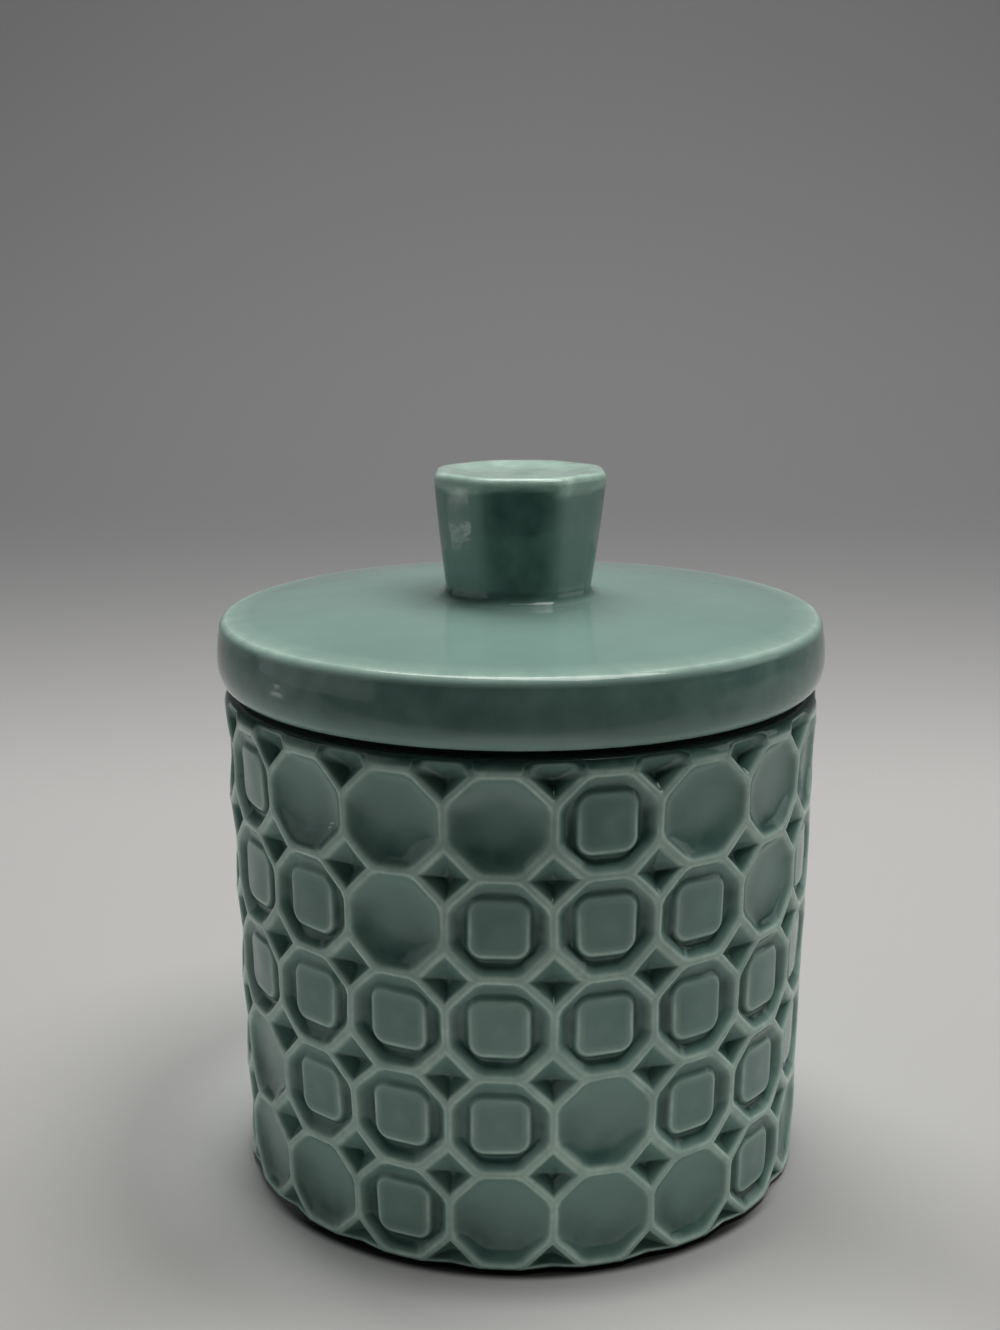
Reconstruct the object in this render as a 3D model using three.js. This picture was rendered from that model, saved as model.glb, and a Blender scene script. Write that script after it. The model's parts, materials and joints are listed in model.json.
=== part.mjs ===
// A glazed ceramic canister: a round jar pressed all over with octagons and diamonds,
// a flat lid that covers its mouth, the faceted knob on the lid, and the soft ring
// around the lid's flange that seals the mouth.
// Millimetres, +Z up, the middle of the foot on the origin, the front towards -Y.

import * as THREE from 'three';
import { mergeVertices } from 'three/addons/utils/BufferGeometryUtils.js';

// Jar: radii are taken over the ridges of the pattern
const jarHeight = 95;
const jarTopRadius = 56.5;
const jarFootRadius = 54.4;
const jarWall = 6.5;
const jarFloor = 6.4;
const innerFloorRound = 8;
const rimRound = 1.2;
const mouthDepth = 13;

// Foot ring, set in under the edge so that the jar stands on a thin unglazed line
const footInset = 3.6;
const footWidth = 4.4;
const footRecess = 1.6;
const footUndercut = 0.8;
const footDraft = 0.3;

// Pattern: rows of octagons, a diamond wherever four of them meet
const patternTop = 91.5;
const patternBottom = 1.2;
const cellWidth = 18.4;
const cellHeight = 18;
const cornerCut = 0.3;
const frontRidgeTurn = 5.3;
const ridgeHalfWidth = 0.8;
const crestDrop = 0.3;
const diamondDepth = 3;
const topDiamondBow = 1.8;
const topDiamondTip = -1.9;
const footDiamondDepth = 1.7;
const footDiamondTip = 1.6;

// Octagons are of two kinds: a smooth dish, or a raised square inside a moat
const dishDepth = 2.1;
const dishRim = { inset: 2.9, share: 0.62 };
const dishMiddle = { inset: 5.5, share: 0.93 };
const moatDepth = 1.6;
const moatSlope = 1.2;
const squareHalf = 5.1;
const squareChamfer = 1.4;
const squareSlope = 0.9;
const squareDrop = 0.75;
const squareCrown = 0.1;
const kindRows = [
  ['square', 'dish', 'dish', 'dish'],
  ['square', 'square', 'dish', 'square'],
  ['square', 'square', 'square', 'square'],
  ['dish', 'square', 'square', 'square'],
  ['dish', 'dish', 'square', 'dish'],
];

// Lid: a slightly crowned disc, hollow below inside its flange
const lidOverhang = 1;
const lidThickness = 12.5;
const lidCrown = 3.1;
const lidTopRound = 1.8;
const lidUnderRound = 2.5;
const lidUnderRise = 5.2;
const seatGap = 0.3;
const flangeGap = 2.2;
const flangeDepth = 10;
const flangeWall = 5;
const flangeChamfer = 0.8;
const lidCeiling = 6.6;
const ceilingRound = 4;

// Seal: a ring with two lips, seated in a groove around the flange
const grooveDepth = 2;
const grooveHeight = 4.6;
const grooveDrop = 2.4;
const sealPlay = 0.3;
const sealBand = 1.7;
const sealLip = 0.8;
const sealLipSweep = 0.7;
const lipGap = 0.4;

// Knob: an octagonal stub, wider at the top, with a shallow dished top
const knobHeight = 23.6;
const knobBaseHalf = 13.7;
const knobTopHalf = 16;
const knobBulge = 0.15;
const knobCornerRound = 7;
const knobTopRound = 1.2;
const knobRimWidth = 3.2;
const knobDish = 0.9;
const knobDishFloor = 7;
const knobFillet = 0.9;
const knobSeatMargin = 1.6;

const roundSteps = 48;
const edgeSteps = 3;

const lidRadius = jarTopRadius + lidOverhang;
const mouthRadius = jarTopRadius - jarWall;
const lidUnderside = jarHeight + seatGap;
const lidShoulder = lidUnderside + lidThickness;
const knobBase = lidShoulder + lidCrown;
const knobSeatRadius = knobBaseHalf + knobFillet + knobSeatMargin;
const flangeRadius = mouthRadius - flangeGap;
const grooveRadius = flangeRadius - grooveDepth;
const grooveTop = lidUnderside - grooveDrop;

const meanRadius = (jarTopRadius + jarFootRadius) / 2;
const columns = Math.round((2 * Math.PI * meanRadius) / cellWidth);
const rows = Math.max(1, Math.round((patternTop - patternBottom) / cellHeight));
const columnAngle = (2 * Math.PI) / columns;
const columnPitch = meanRadius * columnAngle;
const rowPitch = (patternTop - patternBottom) / rows;
const frontColumn = Math.floor(columns / 2);
const cutAcross = cornerCut * columnPitch;
const cutUp = cornerCut * rowPitch;

const glaze = { color: 0x7d968a, roughness: 0.16, metalness: 0 };
const silicone = { color: 0xd9dbd6, roughness: 0.55, metalness: 0 };

// A closed skin of triangles, put together from rings of points. Rings run anticlockwise
// seen from outside, or from above where they go round the axis.
class Skin {
  positions = [];
  triangles = [];

  point([x, y, z]) {
    this.positions.push(x, y, z);
    return this.positions.length / 3 - 1;
  }

  ring(points) {
    return points.map((point) => this.point(point));
  }

  join(from, to) {
    from.forEach((corner, i) => {
      const next = (i + 1) % from.length;
      this.triangles.push(corner, from[next], to[next], corner, to[next], to[i]);
    });
  }

  close(ring, middle) {
    const tip = this.point(middle);
    ring.forEach((corner, i) => {
      this.triangles.push(corner, ring[(i + 1) % ring.length], tip);
    });
  }

  geometry() {
    const geometry = new THREE.BufferGeometry();
    geometry.setAttribute('position', new THREE.Float32BufferAttribute(this.positions, 3));
    geometry.setIndex(this.triangles);
    return mergeVertices(geometry);
  }
}

function ridgeRadius(height) {
  return THREE.MathUtils.mapLinear(height, 0, jarHeight, jarFootRadius, jarTopRadius);
}

function columnTurn(column) {
  return THREE.MathUtils.degToRad(frontRidgeTurn) + (column - frontColumn) * columnAngle;
}

function turned(angle, radius, height) {
  return [radius * Math.sin(angle), -radius * Math.cos(angle), height];
}

// A point on the patterned wall, sunk below the ridges
function onWall(column, height, sunk) {
  return turned(columnTurn(column), ridgeRadius(height) - sunk, height);
}

// The four points of the diamond where ridge and row line cross. On the top line its
// upper point stops short of the rim, and on the bottom line its lower point opens out.
function crossing(column, line) {
  const here = column % columns;
  const height = patternTop - line * rowPitch;
  return {
    right: onWall(here + cornerCut, height, 0),
    up: onWall(here, height + (line === 0 ? topDiamondBow : cutUp), 0),
    left: onWall(here - cornerCut, height, 0),
    down: onWall(here, line === rows ? height : height - cutUp, line === rows ? footDiamondDepth : 0),
  };
}

// Eight corners around the middle of a cell, anticlockwise from the top right
function cellRing(column, row, halfWidth, halfHeight, cut, sunk) {
  const height = patternTop - (row + 0.5) * rowPitch;
  const corners = [
    [halfWidth - cut, halfHeight],
    [cut - halfWidth, halfHeight],
    [-halfWidth, halfHeight - cut],
    [-halfWidth, cut - halfHeight],
    [cut - halfWidth, -halfHeight],
    [halfWidth - cut, -halfHeight],
    [halfWidth, cut - halfHeight],
    [halfWidth, halfHeight - cut],
  ];
  return corners.map(([across, up]) => onWall(column + 0.5 + across / columnPitch, height + up, sunk));
}

// The octagon's own outline moved in by a width, its slanted sides as much as the others
function insetOctagon(column, row, inset, sunk) {
  const cut = Math.min(cutAcross, cutUp) - (2 - Math.SQRT2) * inset;
  return cellRing(column, row, columnPitch / 2 - inset, rowPitch / 2 - inset, cut, sunk);
}

function addOctagon(skin, column, row) {
  const [upperRight, upperLeft] = [crossing(column + 1, row), crossing(column, row)];
  const [lowerRight, lowerLeft] = [crossing(column + 1, row + 1), crossing(column, row + 1)];
  const outline = skin.ring([
    upperRight.left, upperLeft.right, upperLeft.down, lowerLeft.up,
    lowerLeft.right, lowerRight.left, lowerRight.up, upperRight.down,
  ]);
  const kinds = kindRows[row % kindRows.length];
  const offset = column - frontColumn;
  const kind = kinds[((offset % kinds.length) + kinds.length) % kinds.length];
  const middleHeight = patternTop - (row + 0.5) * rowPitch;
  const rings = [insetOctagon(column, row, ridgeHalfWidth, crestDrop)];
  let middleSunk = dishDepth;

  if (kind === 'dish') {
    for (const { inset, share } of [dishRim, dishMiddle]) {
      rings.push(insetOctagon(column, row, inset, share * dishDepth));
    }
  } else {
    const foot = squareHalf + squareSlope;
    rings.push(insetOctagon(column, row, ridgeHalfWidth + moatSlope, moatDepth));
    rings.push(cellRing(column, row, foot, foot, squareChamfer + squareSlope, moatDepth));
    rings.push(cellRing(column, row, squareHalf, squareHalf, squareChamfer, squareDrop));
    middleSunk = squareDrop - squareCrown;
  }

  let last = outline;
  for (const points of rings) {
    const next = skin.ring(points);
    skin.join(last, next);
    last = next;
  }
  skin.close(last, onWall(column + 0.5, middleHeight, middleSunk));
}

// A pyramid pressed in between the octagons
function addDiamond(skin, column, line) {
  const height = patternTop - line * rowPitch;
  const { right, up, left, down } = crossing(column, line);
  const outline = skin.ring([right, up, left, down]);
  const diagonalInset = Math.SQRT2 * ridgeHalfWidth;
  const sharpInset = (1 + Math.SQRT2) * ridgeHalfWidth;
  let side = cutAcross - diagonalInset;
  let sideRise = 0;
  let [high, low, tip] = [cutUp - diagonalInset, diagonalInset - cutUp, 0];
  let lowSunk = crestDrop;

  if (line === 0) {
    side = cutAcross - sharpInset;
    sideRise = -ridgeHalfWidth;
    high = topDiamondBow - ridgeHalfWidth;
    tip = topDiamondTip;
  }
  if (line === rows) {
    side = cutAcross - sharpInset;
    sideRise = crestDrop;
    low = crestDrop;
    lowSunk = footDiamondDepth;
    tip = footDiamondTip;
  }

  const acrossColumn = side / columnPitch;
  const inner = skin.ring([
    onWall(column + acrossColumn, height + sideRise, crestDrop),
    onWall(column, height + high, crestDrop),
    onWall(column - acrossColumn, height + sideRise, crestDrop),
    onWall(column, height + low, lowSunk),
  ]);
  skin.join(outline, inner);
  skin.close(inner, onWall(column, height + tip, diamondDepth));
}

// The jar's plain surfaces run round on the same stations as the pattern's edge: each
// ridge, and the two diamond corners beside it
function patternEdge(line, middleSide) {
  const points = [];
  for (let column = 0; column < columns; column += 1) {
    const corners = crossing(column, line);
    points.push(corners.left, corners[middleSide], corners.right);
  }
  return points;
}

function plainRing(radius, height) {
  const points = [];
  for (let column = 0; column < columns; column += 1) {
    for (const share of [-cornerCut, 0, cornerCut]) {
      points.push(turned(columnTurn(column + share), radius, height));
    }
  }
  return points;
}

// The angles of a quarter round after its first
const arcSteps = Array.from({ length: edgeSteps }, (_, i) => ((i + 1) / edgeSteps) * (Math.PI / 2));

function jarGeometry() {
  const skin = new Skin();
  for (let column = 0; column < columns; column += 1) {
    for (let row = 0; row < rows; row += 1) addOctagon(skin, column, row);
    for (let line = 0; line <= rows; line += 1) addDiamond(skin, column, line);
  }

  // Over the rim, down the mouth and the inside, and across the floor
  const wallBottom = jarFloor + innerFloorRound;
  const innerBottomRadius = ridgeRadius(wallBottom) - jarWall;
  const upper = [
    [ridgeRadius(jarHeight - rimRound), jarHeight - rimRound],
    ...arcSteps.map((angle) => [
      jarTopRadius - rimRound * (1 - Math.cos(angle)),
      jarHeight - rimRound * (1 - Math.sin(angle)),
    ]),
    [mouthRadius + rimRound, jarHeight],
    [mouthRadius, jarHeight - rimRound],
    [mouthRadius, jarHeight - mouthDepth],
    [innerBottomRadius, wallBottom],
    ...arcSteps.map((angle) => [
      innerBottomRadius - innerFloorRound * (1 - Math.cos(angle)),
      wallBottom - innerFloorRound * Math.sin(angle),
    ]),
  ];
  let last = skin.ring(patternEdge(0, 'up'));
  for (const [radius, height] of upper) {
    const next = skin.ring(plainRing(radius, height));
    skin.join(last, next);
    last = next;
  }
  skin.close(last, [0, 0, jarFloor]);

  // Round the lower edge, in to the foot ring, and across the hollow under the jar
  const edge = patternEdge(rows, 'down');
  const undercutHeight = patternBottom - footUndercut;
  const tucked = edge.map(([x, y]) => {
    const radius = Math.hypot(x, y);
    const share = (radius - footUndercut) / radius;
    return [x * share, y * share, undercutHeight];
  });
  const footOuter = jarFootRadius - footInset;
  const footInner = footOuter - footWidth;
  last = skin.ring(edge).reverse();
  for (const points of [
    tucked,
    plainRing(footOuter, undercutHeight),
    plainRing(footOuter - footDraft, 0),
    plainRing(footInner, 0),
    plainRing(footInner - footDraft, footRecess),
  ]) {
    const next = skin.ring(points).reverse();
    skin.join(last, next);
    last = next;
  }
  skin.close(last, [0, 0, footRecess]);
  return skin.geometry();
}

// Revolves a profile of radius and height about Z. The profile climbs on its outer side.
function revolved(outline, steps) {
  const geometry = new THREE.LatheGeometry(outline, steps);
  geometry.rotateX(Math.PI / 2);
  return geometry;
}

// From the middle of the lid's top, over its edge, round the flange and under the lid
function lidGeometry() {
  const flangeBottom = lidUnderside - flangeDepth;
  const grooveBottom = grooveTop - grooveHeight;
  const flangeInner = flangeRadius - flangeWall;
  const ceiling = knobBase - lidCrown / 2 - lidCeiling;
  const topRoundMiddle = lidRadius - lidTopRound;
  const crownMiddle = (knobSeatRadius + topRoundMiddle) / 2;
  const underRoundMiddle = lidRadius - lidUnderRound;
  const underRoundTop = lidUnderside + lidUnderRise;
  const outline = new THREE.Path();
  outline.moveTo(0, knobBase);
  outline.lineTo(knobSeatRadius, knobBase);
  outline.quadraticCurveTo(crownMiddle, knobBase - lidCrown / 4, topRoundMiddle, lidShoulder);
  outline.absarc(topRoundMiddle, lidShoulder - lidTopRound, lidTopRound, Math.PI / 2, 0, true);
  outline.absellipse(
    underRoundMiddle, underRoundTop, lidUnderRound, lidUnderRise, 0, -Math.PI / 2, true,
  );
  outline.lineTo(flangeRadius, lidUnderside);
  outline.lineTo(flangeRadius, grooveTop);
  outline.lineTo(grooveRadius, grooveTop);
  outline.lineTo(grooveRadius, grooveBottom);
  outline.lineTo(flangeRadius, grooveBottom);
  outline.lineTo(flangeRadius, flangeBottom + flangeChamfer);
  outline.lineTo(flangeRadius - flangeChamfer, flangeBottom);
  outline.lineTo(flangeInner + flangeChamfer, flangeBottom);
  outline.lineTo(flangeInner, flangeBottom + flangeChamfer);
  outline.absarc(flangeInner - ceilingRound, ceiling - ceilingRound, ceilingRound, 0, Math.PI / 2, false);
  outline.lineTo(0, ceiling);
  return revolved(outline.getPoints(2).reverse(), roundSteps);
}

// A band that fills the groove, with two thin lips that sweep up towards the mouth's wall
function sealGeometry() {
  const inner = grooveRadius + sealPlay;
  const band = inner + sealBand;
  const tip = mouthRadius - lipGap;
  const top = grooveTop - sealPlay;
  const bottom = grooveTop - grooveHeight + sealPlay;
  const lowerLipTop = bottom + sealLip;
  const corners = [
    [inner, top],
    [inner, bottom],
    [band, bottom],
    [tip, bottom + sealLipSweep],
    [tip, lowerLipTop + sealLipSweep / 2],
    [band, lowerLipTop],
    [band, top - sealLip],
    [tip, top - sealLip + sealLipSweep / 2],
    [tip, top],
    [inner, top],
  ];
  return revolved(corners.map(([radius, height]) => new THREE.Vector2(radius, height)), roundSteps);
}

// An octagon with rounded corners, its flats square to the axes
function knobRing(halfWidth, height) {
  const sides = 8;
  const sideTurn = (2 * Math.PI) / sides;
  const round = Math.min(knobCornerRound, halfWidth / 2);
  const cornerReach = (halfWidth - round) / Math.cos(sideTurn / 2);
  const points = [];
  for (let side = 0; side < sides; side += 1) {
    const corner = (side + 0.5) * sideTurn;
    for (const share of [-0.5, 0, 0.5]) {
      const angle = corner + share * sideTurn;
      points.push([
        cornerReach * Math.cos(corner) + round * Math.cos(angle),
        cornerReach * Math.sin(corner) + round * Math.sin(angle),
        height,
      ]);
    }
  }
  return points;
}

function knobGeometry() {
  const skin = new Skin();
  const knobTop = knobBase + knobHeight;
  const levels = [[knobBaseHalf + knobFillet, knobBase]];
  for (const share of [0, 1 / 3, 2 / 3, 1]) {
    const half = THREE.MathUtils.lerp(knobBaseHalf, knobTopHalf, share);
    const bulge = knobBulge * 4 * share * (1 - share);
    const height = THREE.MathUtils.lerp(knobBase + knobFillet, knobTop - knobTopRound, share);
    levels.push([half + bulge, height]);
  }
  for (const angle of arcSteps) {
    levels.push([
      knobTopHalf - knobTopRound * (1 - Math.cos(angle)),
      knobTop - knobTopRound * (1 - Math.sin(angle)),
    ]);
  }
  const dishHalf = knobTopHalf - knobTopRound - knobRimWidth;
  levels.push([dishHalf, knobTop - knobDish / 3], [knobDishFloor, knobTop - knobDish]);

  let last = null;
  for (const [halfWidth, height] of levels) {
    const next = skin.ring(knobRing(halfWidth, height));
    if (last === null) skin.close([...next].reverse(), [0, 0, height]);
    else skin.join(last, next);
    last = next;
  }
  skin.close(last, [0, 0, knobTop - knobDish]);
  return skin.geometry();
}

function named(name, geometry, finish) {
  const mesh = new THREE.Mesh(geometry, new THREE.MeshStandardMaterial(finish));
  mesh.name = name;
  return mesh;
}

const canister = new THREE.Group();
const lidGroup = new THREE.Group();
canister.add(named('jar_body', jarGeometry(), glaze));
lidGroup.add(named('lid', lidGeometry(), glaze));
lidGroup.add(named('lid_knob', knobGeometry(), glaze));
lidGroup.add(named('lid_seal', sealGeometry(), silicone));
canister.add(lidGroup);

export default canister;
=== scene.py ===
import json
import math

import bpy
import numpy as np
from mathutils import Matrix, Vector

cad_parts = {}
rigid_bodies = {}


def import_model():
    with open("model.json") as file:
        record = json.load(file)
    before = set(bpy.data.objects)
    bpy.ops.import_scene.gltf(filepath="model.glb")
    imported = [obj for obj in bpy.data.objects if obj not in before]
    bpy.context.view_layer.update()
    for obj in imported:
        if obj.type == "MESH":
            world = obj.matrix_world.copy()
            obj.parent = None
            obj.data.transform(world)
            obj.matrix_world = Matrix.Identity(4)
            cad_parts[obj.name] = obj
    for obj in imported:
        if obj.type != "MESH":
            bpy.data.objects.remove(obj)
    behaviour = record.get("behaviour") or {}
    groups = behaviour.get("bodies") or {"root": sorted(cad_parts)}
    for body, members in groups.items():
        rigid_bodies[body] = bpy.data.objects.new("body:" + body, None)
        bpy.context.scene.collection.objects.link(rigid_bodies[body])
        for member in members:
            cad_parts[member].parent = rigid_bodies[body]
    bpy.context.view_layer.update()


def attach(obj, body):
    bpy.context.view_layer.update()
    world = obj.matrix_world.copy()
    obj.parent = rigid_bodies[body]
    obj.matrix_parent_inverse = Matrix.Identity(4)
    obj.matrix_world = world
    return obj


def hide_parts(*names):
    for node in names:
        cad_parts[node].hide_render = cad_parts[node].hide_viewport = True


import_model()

# Jar. Slip-cast stoneware under a celadon glaze, one piece with its foot ring, pressed all
# over with octagons and diamonds. Each cell of the relief is a flat tile, set out on a grid
# and wrapped round the slightly tapered wall.

MM = 0.001
JAR_HEIGHT = 95.0
JAR_TOP_RADIUS = 56.5
JAR_FOOT_RADIUS = 54.4
MOUTH_RADIUS = 50.0
MOUTH_DEPTH = 13.0
JAR_WALL = 6.5
JAR_FLOOR = 6.4
JAR_UNDERSIDE = 1.6
FOOT_SET_IN = 3.6
FOOT_WIDTH = 4.4
INNER_ROUND = 8.0
SHOULDER_ROUND = 3.2
RIM_EDGE = 93.85
RIM_ROUND = 1.3
# Over the rim's outer edge: radius, height, how deep the glaze pools, here up to nearly black as painted
# shade under the lid's edge
RIM_STEPS = (
    (55.5, 94.0, 1.9), (55.0, 94.23, 2), (54.3, 94.53, 2), (53.4, 94.82, 1.3), (52.6, 94.97, 0.5),
)

PATTERN_TOP = 91.5
PATTERN_BOTTOM = 1.2
EDGE_THICKNESS = 0.8
COLUMNS = 19
ROWS = 5
FRONT_COLUMN = 9
FRONT_TURN = math.radians(5.3)
COLUMN_ANGLE = 2 * math.pi / COLUMNS
MEAN_RADIUS = (JAR_TOP_RADIUS + JAR_FOOT_RADIUS) / 2
PITCH = MEAN_RADIUS * COLUMN_ANGLE
RISE = (PATTERN_TOP - PATTERN_BOTTOM) / ROWS
HALF_WIDE, HALF_HIGH = PITCH / 2, RISE / 2
CUT_WIDE, CUT_HIGH = 0.3 * PITCH, 0.3 * RISE

# One letter per octagon, from the front ridge to the right: dish or raised square
KIND_ROWS = ("sddd", "ssds", "ssss", "dsss", "ddsd")
SHARES = (0, 0.12, 0.31, 0.5, 0.69, 0.88)
POCKET_RISE = 2.15
EDGE_DENT = 0.9
DIAMOND_DEPTH = 3.0

# Steps inward from the ridge's crest: width, depth, how thin the glaze is, how deep it pools
DISH_STEPS = (
    (0, 0, 0.7, 0), (0.3, 0.04, 0.9, 0), (0.5, 0.13, 1, 0), (0.7, 0.28, 0.6, 0),
    (0.95, 0.52, 0.15, 0.1), (1.3, 0.86, 0, 0.2), (1.8, 1.2, 0, 0.25), (2.6, 1.52, 0, 0.3),
    (3.6, 1.8, 0, 0.3), (5, 2.02, 0, 0.26), (6.5, 2.12, 0, 0.2), (7.9, 2.16, 0, 0.15),
)
DISH_DEPTH = 2.17
MOAT_STEPS = (
    (0, 0, 0.7, 0), (0.3, 0.04, 0.9, 0), (0.5, 0.13, 1, 0), (0.7, 0.28, 0.5, 0.1),
    (0.95, 0.53, 0.1, 0.3), (1.3, 0.88, 0, 0.6), (1.8, 1.36, 0, 1.05),
)
MOAT_DEPTH = 1.8
SQUARE_HALF = 5.1
SQUARE_ROUND = 2.4
SQUARE_TOP = 0.75
SQUARE_STEPS = (
    (-0.85, 1.68, 0, 1.15), (-0.5, 1.34, 0, 0.9), (-0.17, 1.0, 0.3, 0.3), (0.08, 0.83, 1, 0),
    (0.35, 0.76, 0.7, 0), (0.7, 0.76, 0.1, 0.1), (1.6, 0.79, 0, 0.35), (3.2, 0.74, 0, 0.35),
)
DIAMOND_STEPS = (
    (0, 0, 0.7, 0), (0.09, 0.05, 0.9, 0), (0.17, 0.15, 1, 0), (0.24, 0.4, 0.5, 0.1),
    (0.32, 0.82, 0, 0.4), (0.54, 1.75, 0, 0.9), (0.77, 2.5, 0, 1.15),
)
TIP_DROP = 1.2


def ridge_radius(height):
    return JAR_FOOT_RADIUS + (JAR_TOP_RADIUS - JAR_FOOT_RADIUS) * height / JAR_HEIGHT


def shoulder_loss(height):
    """How far the soft shoulder under the rim has drawn in at a height."""
    climbed = np.clip((height - JAR_HEIGHT + SHOULDER_ROUND) / SHOULDER_ROUND, 0, 1)
    return SHOULDER_ROUND * (1 - np.sqrt(1 - climbed**2))


class Surface:
    """Faces between rows of points. A point is x, y, z and its thin, pool and bare values."""

    def __init__(self):
        self.points = []
        self.faces = []

    def row(self, points):
        start = len(self.points)
        self.points.extend(tuple(point) for point in points)
        return list(range(start, len(self.points)))

    def strip(self, first, second, closed=False):
        count = len(first) if closed else len(first) - 1
        for i in range(count):
            j = (i + 1) % len(first)
            self.faces.append((first[i], first[j], second[j], second[i]))

    def fan(self, row, tip, closed=False):
        count = len(row) if closed else len(row) - 1
        for i in range(count):
            self.faces.append((row[i], row[(i + 1) % len(row)], tip))

    def object(self, name):
        values = np.array(self.points, float)
        mesh = bpy.data.meshes.new(name)
        mesh.from_pydata((values[:, :3] * MM).tolist(), [], self.faces)
        for column, title in enumerate(("thin", "pool_and_shade", "bare"), 3):
            layer = mesh.attributes.new(title, "FLOAT", "POINT")
            layer.data.foreach_set("value", values[:, column].astype(np.float32))
        mesh.polygons.foreach_set("use_smooth", [True] * len(mesh.polygons))
        mesh.update()
        return bpy.data.objects.new(name, mesh)


def cell_outline(half_wide, half_high, cut_wide, cut_high, rounding):
    """Points round an octagon, anticlockwise from its top right corner, corners eased."""
    right, top = half_wide - cut_wide, half_high - cut_high
    corners = np.array([
        (right, half_high), (-right, half_high), (-half_wide, top), (-half_wide, -top),
        (-right, -half_high), (right, -half_high), (half_wide, -top), (half_wide, top),
    ])
    points = []
    for i, corner in enumerate(corners):
        following = corners[(i + 1) % 8]
        before = corners[i - 1]
        points.append(corner + rounding * SHARES[1] * ((following + before) / 2 - corner))
        points.extend(corner + share * (following - corner) for share in SHARES[1:])
    return np.array(points)


def inset_outline(inset, rounding):
    """The cell's own octagon moved in, its slanted sides as much as the straight ones."""
    loss = (2 - math.sqrt(2)) * inset
    return cell_outline(
        HALF_WIDE - inset, HALF_HIGH - inset, CUT_WIDE - loss, CUT_HIGH - loss, rounding
    )


def square_outline(half, corner):
    """Points round a square with round corners, on the same stations as the octagon's."""
    flat = half - corner
    points = []
    for turn in np.radians((0, 90, 180, 270)):
        across = np.array((math.cos(turn), math.sin(turn)))
        up = np.array((-math.sin(turn), math.cos(turn)))
        points.extend(across * flat * (1 - 2 * share) + up * half for share in SHARES)
        middle = (up - across) * flat
        for share in SHARES:
            angle = share * math.pi / 2
            points.append(middle + corner * (up * math.cos(angle) - across * math.sin(angle)))
    return np.array(points)


def with_values(outline, depth, thin, pool_and_shade):
    return [(x, y, -depth, thin, pool_and_shade, 0) for x, y in outline]


def cell_rings(kind):
    if kind == "d":
        rings = []
        for inset, depth, thin, pool_and_shade in DISH_STEPS:
            outline = inset_outline(inset, min(1, inset / 0.75))
            reach = np.linalg.norm(outline, axis=1, keepdims=True)
            circle = outline / reach * (HALF_WIDE + HALF_HIGH - 2 * inset) / 2
            share = np.clip((inset - 0.6) / 3.2, 0, 1)
            ring = np.array(with_values(outline + share * (circle - outline), depth, thin, pool_and_shade))
            # Each dish is darker over its lower left slope: painted shade, with glaze that has run down
            # before it set and lies thickest there
            low = np.clip(-(ring[:, 1] + 0.3 * ring[:, 0]) / HALF_HIGH, -0.35, 1)
            ring[:, 4] = np.clip(pool_and_shade * (1 + 3.4 * low), 0, 1.1)
            rings.append(ring)
        return rings, (0, 0, -DISH_DEPTH, 0, 0.15, 0)

    rings = [
        with_values(inset_outline(inset, min(1, inset / 0.75)), depth, thin, pool_and_shade)
        for inset, depth, thin, pool_and_shade in MOAT_STEPS
    ]
    squares = []
    for inset, depth, thin, pool_and_shade in SQUARE_STEPS:
        outline = square_outline(SQUARE_HALF - inset, max(SQUARE_ROUND - inset, 0.9))
        squares.append(with_values(outline, depth, thin, pool_and_shade))
    middle = (np.array(rings[-1]) + np.array(squares[0])) / 2
    middle[:, 2] = -MOAT_DEPTH
    made = [np.array(ring) for ring in (*rings, middle, *squares)]
    for number, ring in enumerate(made):
        # The moat is shallower over the square than beside and under it
        share = np.clip(ring[:, 1] / SQUARE_HALF, 0, 1) ** 2
        below = np.maximum(-ring[:, 2] - SQUARE_TOP, 0)
        ring[:, 2] += 0.45 * share * below
        # The moat's glaze pools less in its upper part, so its lower part is darker: painted shade
        ring[:, 4] *= 1 - 0.5 * share
        # The square's pale edge is weaker along its top, which leaves a painted highlight on its lower
        # and side edges
        if number > len(rings):
            ring[:, 3] *= 1 - 0.7 * share
    return made, (0, 0, -0.7, 0, 0.2, 0)


def bow_rise(share):
    """How far a top pocket's upper edge has risen, from the ridge's end to its middle."""
    return POCKET_RISE * (1 - (1 - share) ** 8)


def quarter_diamond(surface, edge, tip, mirrored, bared=1.0, filled=1.0, edge_shade=0.0):
    """One facet of a diamond, from an edge of points down to its tip. Its glaze is thin along the edge
    as far as that is bared, and pools towards the tip as far as it is filled. Along the edge it is
    painted dark, as painted shade, as far as the edge's shade value asks."""
    rows = []
    for share, depth, thin, pool_and_shade in DIAMOND_STEPS:
        sunk = depth / DIAMOND_DEPTH
        pool_and_shade = max(pool_and_shade * filled, edge_shade * (1 - share / 0.4))
        rows.append([
            (
                x + share * (tip[0] - x), y + share * (tip[1] - y),
                -(dent + sunk * (DIAMOND_DEPTH - dent)), thin * bared, pool_and_shade, 0,
            )
            for x, y, dent in edge
        ])
    if mirrored:
        rows = [row[::-1] for row in rows]
    made = [surface.row(row) for row in rows]
    for first, second in zip(made, made[1:]):
        surface.strip(first, second)
    (point,) = surface.row([(*tip, -DIAMOND_DEPTH, 0, filled, 0)])
    surface.fan(made[-1], point)


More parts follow.
